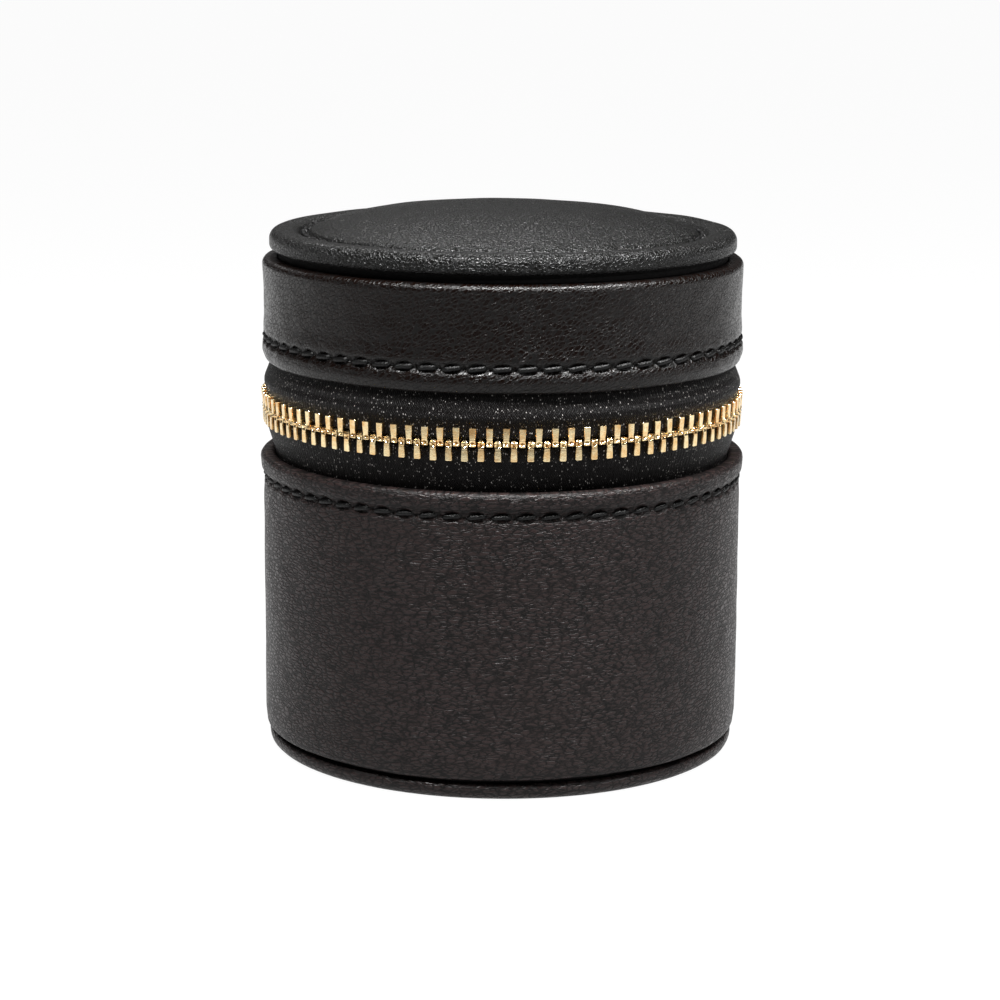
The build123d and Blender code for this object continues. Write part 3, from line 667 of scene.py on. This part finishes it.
# --- lid --------------------------------------------------------------------------------------
def make_lid_band():
    turn_in = LID_BAND_TOP - LEATHER
    mouth = NECK_RADIUS + 0.1
    lip_undercut = 0.45
    lip_full = LID_BOTTOM + 1.2
    waist_start = LID_STITCH_HEIGHT + 2.6
    waist_end = 58.5
    corners = [(LID_INNER, LID_BOTTOM, 0.2), (LID_LIP_RADIUS - lip_undercut, LID_BOTTOM, 0.6),
               (LID_LIP_RADIUS, lip_full, 1.2), (LID_LIP_RADIUS, LID_STITCH_HEIGHT, 1.5),
               (LID_WAIST_RADIUS, waist_start, 6.0), (LID_WAIST_RADIUS, waist_end, 9.0),
               (LID_BAND_RADIUS, LID_BAND_TOP, 0.8), (mouth, LID_BAND_TOP, 0),
               (mouth, turn_in, 0), (LID_INNER, turn_in, 0)]
    points = outline(corners, step=0.25)

    def dent(azimuth, radius, height):
        outside = radius > LID_INNER + 0.1
        relief = stitched(azimuth, height - LID_STITCH_HEIGHT, LID_STITCHES)
        relief = relief + ripple(azimuth, height, seed=41, length=14.0, amount=0.06)
        relief = relief + ripple(azimuth, height, seed=42, length=4.5, amount=0.018) + closing_seam(azimuth)
        return relief * outside * (height < LID_BAND_TOP - 0.02)

    band = lathe("lid_band", points, LID_STITCHES * COLUMNS_PER_STITCH, lid_leather, dent)
    place(band, "lid", "black_leather", "lid_band_leather")


def dome_points(edge_radius, edge_height, crown, count):
    """A pillow's section from its seam to the crown: steep at the seam and nearly flat on top."""
    share = np.linspace(1, 0, count)
    rise = (1 - share ** 3.2) ** 0.9
    return np.stack([edge_radius * share, edge_height + (crown - edge_height) * rise], axis=1)


def make_lid_top():
    neck = NECK_RADIUS + GLUE_GAP
    turn_in = 0.9
    seam_slope = 1.5
    rim = outline([(neck, RIM_BOTTOM + turn_in, 0), (neck, RIM_BOTTOM, 0),
                   (RIM_RADIUS, RIM_BOTTOM, 0.6), (RIM_RADIUS, RIM_TOP, 1.25),
                   (SEAM_RADIUS + seam_slope, RIM_TOP, 1.0), (SEAM_RADIUS, SEAM_HEIGHT, 0)],
                  step=0.2, closed=False)
    dome = dome_points(SEAM_RADIUS, SEAM_HEIGHT, CROWN_HEIGHT, count=110)
    points = np.concatenate([rim[:-1], dome])

    def dent(azimuth, radius, height):
        relief = stitched(azimuth, radius - SEAM_RADIUS, SEAM_STITCHES)
        relief = relief + ripple(azimuth, radius, seed=51, length=12.0, amount=0.05)
        near_seam = bump(radius - SEAM_RADIUS, 12.0)
        return relief * (height > RIM_BOTTOM + 0.3) * near_seam

    top = lathe("lid_top_pad", points, SEAM_STITCHES * COLUMNS_PER_STITCH, top_leather, dent,
                closed=False)
    place(top, "lid", "black_leather", "lid_top_leather")


# --- zip --------------------------------------------------------------------------------------
def tape_outline(middle, thickness):
    """A closed strip about a line of (radius, height, rounding) points."""
    half = thickness / 2
    line = outline(middle, step=0.3, closed=False)
    side = outward(line, False) * half
    return np.concatenate([line + side, (line - side)[::-1]])


def tape_line(side):
    """The middle of the lid's tape (side 1) or of the body's (side -1), going upwards."""
    edge = (CHAIN_RADIUS, CHAIN_HEIGHT + side * TAPE_EDGE, 0)
    root = (CHAIN_RADIUS, CHAIN_HEIGHT + side * TOOTH_ROOT, 3.0)
    bend_height = CHAIN_HEIGHT + side * 3.2
    bulge = 0.35
    belly = 0.3
    if side > 0:
        return [edge, root, (CHAIN_RADIUS + bulge, bend_height, 1.2),
                (LID_TAPE_RADIUS, LID_BOTTOM + 0.3, 1.5), (LID_TAPE_RADIUS, LID_BOTTOM + TAPE_TUCK, 0)]
    return [(BODY_TAPE_RADIUS, BODY_TOP - TAPE_TUCK, 0), (BODY_TAPE_RADIUS, BODY_TOP, 2.0),
            (CHAIN_RADIUS - belly, bend_height, 2.0), root, edge]


def make_tape(name, side, body, node):
    points = tape_outline(tape_line(side), TAPE_THICKNESS)

    def dent(azimuth, radius, height):
        return ripple(azimuth, height, seed=61 + side, length=20.0, amount=0.03)

    tape = lathe(name, points, SMOOTH_COLUMNS, tape_material, dent,
                 start=-TAPE_END_AZIMUTH, end=TAPE_END_AZIMUTH)
    place(tape, body, "zip_tape", node)


def tooth_section():
    """A unit square with rounded corners and extra points across its front and back."""
    corner = [(1.0, 0.78), (0.96, 0.93), (0.86, 1.0)]
    quarter = corner + [(0.4, 1.0), (0.0, 1.0), (-0.4, 1.0)]
    half = quarter + [(-across, deep) for across, deep in reversed(corner)]
    return np.array(half + [(-across, -deep) for across, deep in half])


def tooth_shape(side):
    """One tooth at the front: a hollow root on the tape, a shank, and a dimpled meshing head.

    A level is a height above the chain's centre line, a half width and a half depth.
    """
    levels = [(0.9, 0.24, 0.64), (TOOTH_ROOT - 0.04, 0.27, 0.72), (TOOTH_ROOT, 0.36, 0.82),
              (1.93, 0.43, 0.85),
              (1.3, 0.42, 0.85), (0.75, 0.38, 0.84), (0.58, 0.36, 0.83), (0.46, 0.36, 0.83),
              (0.36, 0.38, 0.80), (0.26, 0.41, 0.80), (0.16, 0.42, 0.80), (0.06, 0.42, 0.80),
              (-0.04, 0.42, 0.80), (-0.14, 0.42, 0.80), (-0.24, 0.40, 0.76), (-0.34, 0.34, 0.66),
              (-0.42, 0.24, 0.48), (-0.47, 0.10, 0.20)]
    dimple_depth = 0.30
    dimple_height = 0.12
    knob_rise = 0.10
    knob_height = -0.18
    section = tooth_section()
    sides = len(section)
    rings = []
    for up, half_width, half_depth in levels:
        across = half_width * section[:, 0]
        front = section[:, 1] > 0.95
        dimple = dimple_depth * bump(up - dimple_height, 0.13) * bump(across, 0.2)
        knob = knob_rise * bump(up - knob_height, 0.12) * bump(across, 0.25)
        deep = half_depth * section[:, 1] + (knob - dimple) * front
        rings.append(np.stack([across, -deep, np.full(sides, up)], axis=1))
    points = np.concatenate(rings)
    points[:, 2] *= side
    faces = []
    for ring in range(len(levels) - 1):
        for index in range(sides):
            beside = (index + 1) % sides
            faces.append([ring * sides + index, (ring + 1) * sides + index,
                          (ring + 1) * sides + beside, ring * sides + beside])
    faces.append(list(range(sides)))
    faces.append([(len(levels) - 1) * sides + index for index in reversed(range(sides))])
    return points, faces


def make_teeth(name, side, body, node, lean, seed):
    """A row of teeth that leans by some degrees, each a hair off true as stamped teeth are."""
    spacing_error = 0.0008         # radians
    lean_error = 1.5               # degrees, as the next two
    twist_error = 3.0
    roll_error = 1.5
    height_error = 0.03
    draw = random.Random(seed)
    step = 2 * math.pi / TEETH_PER_TURN
    frames = []
    for index in range(-TEETH_EACH_SIDE, TEETH_EACH_SIDE + 1):
        turned = spin(index * step + side * step / 4 + draw.uniform(-1, 1) * spacing_error)
        tilt = (Matrix.Rotation(math.radians(lean + draw.uniform(-lean_error, lean_error)), 3, "X")
                @ Matrix.Rotation(math.radians(draw.uniform(-twist_error, twist_error)), 3, "Z")
                @ Matrix.Rotation(math.radians(draw.uniform(-roll_error, roll_error)), 3, "Y"))
        height = CHAIN_HEIGHT + draw.uniform(-height_error, height_error)
        frames.append((turned @ np.array(tilt), turned @ np.array([0, -CHAIN_RADIUS, height])))
    vertices, faces = copies(tooth_shape(side), frames)
    teeth = add_piece(name, vertices, faces, gold_material, smooth=False)
    face_outwards(teeth)
    place(teeth, body, "gold_metal", node)


# --- hinge ------------------------------------------------------------------------------------
def hinge_line(offset):
    """The strip's section, bulging out between the hems, moved inwards by an offset."""
    body = BODY_TAPE_RADIUS - offset
    bulge = HINGE_BULGE_RADIUS - offset
    lid = LID_TAPE_RADIUS - offset
    half_bulge = 1.6
    return [(body, BODY_TOP - HINGE_TUCK, 0), (body, BODY_TOP, 2.5),
            (bulge, CHAIN_HEIGHT - half_bulge, 3.0), (bulge, CHAIN_HEIGHT + half_bulge, 3.0),
            (lid, LID_BOTTOM, 2.5), (lid, LID_BOTTOM + HINGE_TUCK, 0)]


def bend_at_hinge(piece, slot, *nodes):
    """Hides the given CAD nodes and bakes the piece's placement into its mesh."""
    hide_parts(*nodes)
    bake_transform(piece)


def make_hinge():
    start = 180 - HINGE_HALF_ANGLE
    end = 180 + HINGE_HALF_ANGLE
    channel_depth = 0.12
    channel_inset = 1.6

    def dent(azimuth, radius, height):
        """The shallow channel of the upright stitch rows."""
        from_edge = (HINGE_HALF_ANGLE - np.abs(np.degrees(azimuth) - 180)) * math.radians(29.0)
        visible = np.abs(height - CHAIN_HEIGHT) < 5.0
        return -channel_depth * bump(from_edge - channel_inset, 0.5) * visible

    strip_section = tape_outline(hinge_line(0.0), HINGE_THICKNESS)
    strip = lathe("hinge_strip", strip_section, 160, lid_leather, dent, start=start, end=end)
    bend_at_hinge(strip, "black_leather", "hinge_leather")
    facing_line = hinge_line(HINGE_THICKNESS)[1:-1]
    facing_line[0] = (facing_line[0][0], high("body_lining") + GLUE_GAP, 0)
    facing_line[-1] = (facing_line[-1][0], LID_BOTTOM - GLUE_GAP, 0)
    facing_section = tape_outline(facing_line, HINGE_LINING_THICKNESS)
    facing = lathe("hinge_facing", facing_section, 80, wall_suede, start=start, end=end)
    bend_at_hinge(facing, "suede_lining", "hinge_lining")


def make_hinge_stitching():
    """Two upright rows that hold the strip's edges."""
    shape = make_stitch_shape(length=2.5, radius=0.3, sink=0.3)
    inset = math.radians(3.16)     # from the strip's edge
    upright = np.array([[0, 1, 0], [0, 0, -1], [-1, 0, 0]], float)
    # Height, radius and lean in degrees of each stitch, along the strip's bulge.
    places = [(40.4, 29.33, 8.0), (43.2, 29.8, 0.0), (46.0, 29.75, 0.0), (48.4, 29.35, -5.0)]
    frames = []
    for side in (-1, 1):
        azimuth = math.pi + side * (math.radians(HINGE_HALF_ANGLE) - inset)
        turned = spin(azimuth)
        for height, radius, lean in places:
            tilt = np.array(Matrix.Rotation(math.radians(lean), 3, "X"))
            frames.append((turned @ tilt @ upright, turned @ np.array([0, -radius, height])))
    vertices, faces = copies(shape, frames)
    rows = add_piece("hinge_thread", vertices, faces, thread_material)
    face_outwards(rows)
    bend_at_hinge(rows, "thread", "hinge_stitching")


# --- linings and ring rolls -------------------------------------------------------------------
def make_linings():
    outer = reach("body_inner_board") - BOARD_AND_GLUE
    lip = reach("body_lining")
    inner = outer - LINING
    mouth = high("body_lining")
    corners = [(inner, low("body_lining"), 0), (outer, low("body_lining"), 0),
               (outer, BODY_TOP, 0), (lip, BODY_TOP, 0), (lip, mouth, 0.25), (inner, mouth, 0.5)]
    wall = lathe("body_lining_suede", outline(corners, step=0.6), LINING_COLUMNS, wall_suede)
    place(wall, "body", "suede_lining", "body_lining")

    lid_lip = reach("lid_lining_wall")
    lid_outer = lid_lip - BOARD_AND_GLUE
    lid_inner = lid_outer - LINING
    lip_top = LID_BOTTOM + 0.6
    ceiling = high("lid_lining_wall")
    corners = [(lid_inner, LID_BOTTOM, 0.5), (lid_lip, LID_BOTTOM, 0.25), (lid_lip, lip_top, 0),
               (lid_outer, lip_top, 0), (lid_outer, ceiling, 0), (lid_inner, ceiling, 0)]
    lid_wall = lathe("lid_lining_suede", outline(corners, step=0.6), LINING_COLUMNS, wall_suede)
    place(lid_wall, "lid", "suede_lining", "lid_lining_wall")

    def disc(name, node, body, rounding):
        radius = reach(node)
        edges = [(0, low(node), 0), (radius, low(node), rounding), (radius, high(node), rounding),
                 (0, high(node), 0)]
        points = outline(edges, step=0.5, closed=False)
        place(lathe(name, points, 240, wall_suede, closed=False), body, "suede_lining", node)

    disc("floor_suede", "floor_lining", "body", 0.25)
    disc("lid_ceiling_suede", "lid_lining_disc", "lid", 0.4)


def roll_shape(middle, half_width, well_radius, bottom, height, seed):
    """A padded roll across the round floor: full in the middle and tucked in at its ends."""
    draw = random.Random(seed)
    phases = [draw.uniform(0, 2 * math.pi) for _ in range(3)]
    lengths = 90
    sides = 56
    share = np.linspace(-1, 1, lengths)[:, None]
    turn = np.linspace(0, 2 * math.pi, sides, endpoint=False)[None, :]
    end = np.clip(1 - np.abs(share) ** 14, 0, 1) ** 0.5
    square = 0.55
    wide = np.sign(np.cos(turn)) * np.abs(np.cos(turn)) ** square
    tall = np.sign(np.sin(turn)) * np.abs(np.sin(turn)) ** (square * 0.8)
    crumple = 1 + 0.012 * np.sin(9 * share + phases[0] + 2 * turn)
    crumple = crumple + 0.008 * np.sin(23 * share + phases[1] - 3 * turn)
    y = middle + half_width * wide * (0.86 + 0.14 * end) * crumple
    z = bottom + height / 2 * (1 + tall * (0.55 + 0.45 * end) * crumple * 0.985)
    limit = np.sqrt(np.clip(well_radius ** 2 - y ** 2, 1.0, None))
    x = share * limit
    points = np.stack([x, y, z], axis=2).reshape(-1, 3)
    faces = []
    for ring in range(lengths - 1):
        for side in range(sides):
            beside = (side + 1) % sides
            faces.append((ring * sides + side, (ring + 1) * sides + side,
                          (ring + 1) * sides + beside, ring * sides + beside))
    faces.append(list(range(sides)))
    faces.append([(lengths - 1) * sides + side for side in reversed(range(sides))])
    return points, faces


def make_ring_rolls():
    bottom = low("ring_rolls")
    height = high("ring_rolls") - bottom
    side_clearance = 0.35
    well = reach("body_inner_board") - BOARD_AND_GLUE - LINING - side_clearance
    rolls_across = 4
    pitch = 12.7
    half_width = 6.15
    vertices, faces = [], []
    for index in range(rolls_across):
        middle = (index - (rolls_across - 1) / 2) * pitch
        points, roll_faces = roll_shape(middle, half_width, well, bottom, height, seed=71 + index)
        first = sum(len(chunk) for chunk in vertices)
        vertices.append(points)
        faces.extend([first + corner for corner in face] for face in roll_faces)
    rolls = add_piece("ring_roll_cushions", np.concatenate(vertices), faces, roll_suede)
    place(rolls, "body", "suede_lining", "ring_rolls")


# --- CAD pieces that show as they are ---------------------------------------------------------
def dress(material, slot, *nodes):
    for node in nodes:
        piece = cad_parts[node]
        piece.data.materials.clear()
        piece.data.materials.append(material)


def soften_edges(width, *nodes):
    """Small bevels on a metal part's edges."""
    for node in nodes:
        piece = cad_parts[node]
        weld = piece.modifiers.new("weld", "WELD")
        weld.merge_threshold = MODIFIER_WELD
        flatten = piece.modifiers.new("flatten", "DECIMATE")
        flatten.decimate_type = "DISSOLVE"
        flatten.angle_limit = math.radians(FLAT_ANGLE)
        bevel = piece.modifiers.new("bevel", "BEVEL")
        bevel.width = width * MM
        bevel.segments = 3
        bevel.limit_method = "ANGLE"
        bevel.angle_limit = math.radians(SHARP_ANGLE)
        bevel.harden_normals = True


make_foot()
make_body_wall()
make_lid_band()
make_lid_top()
make_stitching()
make_tape("lid_zip_tape", 1, "lid", "zip_tape_upper")
make_tape("body_zip_tape", -1, "body", "zip_tape_lower")
make_teeth("lid_zip_teeth", 1, "lid", "zip_teeth_upper", lean=2.0, seed=81)
make_teeth("body_zip_teeth", -1, "body", "zip_teeth_lower", lean=3.0, seed=82)
make_hinge()
make_hinge_stitching()
make_linings()
make_ring_rolls()
dress(gold_material, "gold_metal", "slider_body", "slider_bail", "zip_pull", "zip_stops_lower",
      "zip_stops_upper")
soften_edges(0.12, "slider_body", "zip_pull")
dress(board_material, "greyboard", "base_board", "body_outer_board", "body_inner_board",
      "floor_board", "lid_outer_board", "lid_inner_board", "lid_top_board")
dress(foam_material, "foam", "lid_top_padding")


# --- stage, light and camera ------------------------------------------------------------------
def make_floor():
    """A light table: its own glow makes it white, and in front it fades to grey.

    The grey part gives the front of the leather and the teeth something dark to mirror.
    """
    half = 4000.0
    level = -0.02
    fade_end = -270.0
    fade_start = -110.0
    faded = 0.14
    glow = 0.96
    corners = [(-half, -half, level), (half, -half, level), (half, half, level),
               (-half, half, level)]
    paper = Nodes("floor_paper")
    depth = paper.add("SeparateXYZ", Vector=paper.coordinates()).outputs["Y"]
    lit = paper.span(depth, fade_end, fade_start, faded, 1.0)
    paper.set(Base_Color=paper.ramp(lit, (0.0, 0.0), (1.0, 0.04)), Roughness=0.8,
              Specular_IOR_Level=0.1, Emission_Color=(1.0, 1.0, 1.0, 1.0),
              Emission_Strength=paper.math("MULTIPLY", lit, glow))
    add_piece("floor", corners, [(0, 1, 2, 3)], paper.material, smooth=False)


def area_light(name, size, power, location):
    """A rectangular lamp, sizes in metres, aimed at the middle of the case."""
    target = (0, 0, 0.035)
    light = bpy.data.lights.new(name, "AREA")
    light.shape = "RECTANGLE"
    light.size, light.size_y = size
    light.energy = power
    lamp = bpy.data.objects.new(name, light)
    bpy.context.scene.collection.objects.link(lamp)
    lamp.location = location
    aim = Matrix.Translation(location).inverted() @ Matrix.Translation(target)
    lamp.rotation_euler = aim.to_translation().to_track_quat("-Z", "Y").to_euler()


def make_world():
    """A dim grey studio."""
    world = bpy.data.worlds.new("studio")
    bpy.context.scene.world = world
    world.use_nodes = True
    background = world.node_tree.nodes["Background"]
    background.inputs["Color"].default_value = (1.0, 1.0, 1.0, 1.0)
    background.inputs["Strength"].default_value = 0.06


def make_camera():
    distance = 361.0
    height = 105.7
    pitch = 11.69                  # degrees below level
    roll = 0.38
    camera = bpy.data.cameras.new("camera")
    camera.lens = 102.9
    camera.sensor_width = 36.0
    camera.clip_start = 0.01
    camera.shift_x = -0.0015
    viewer = bpy.data.objects.new("camera", camera)
    bpy.context.scene.collection.objects.link(viewer)
    viewer.matrix_world = (Matrix.Translation((0, -distance * MM, height * MM))
                           @ Matrix.Rotation(math.radians(90 - pitch), 4, "X")
                           @ Matrix.Rotation(math.radians(roll), 4, "Z"))
    bpy.context.scene.camera = viewer


make_floor()
area_light("overhead", size=(0.6, 0.03), power=10.0, location=(0.04, -0.13, 0.46))
area_light("right", size=(0.02, 0.02), power=0.5, location=(0.30, -0.30, 0.30))
area_light("rear", size=(0.4, 0.12), power=0.18, location=(-0.14, 0.40, 0.30))
make_world()
make_camera()
bpy.context.scene.view_settings.view_transform = "Standard"
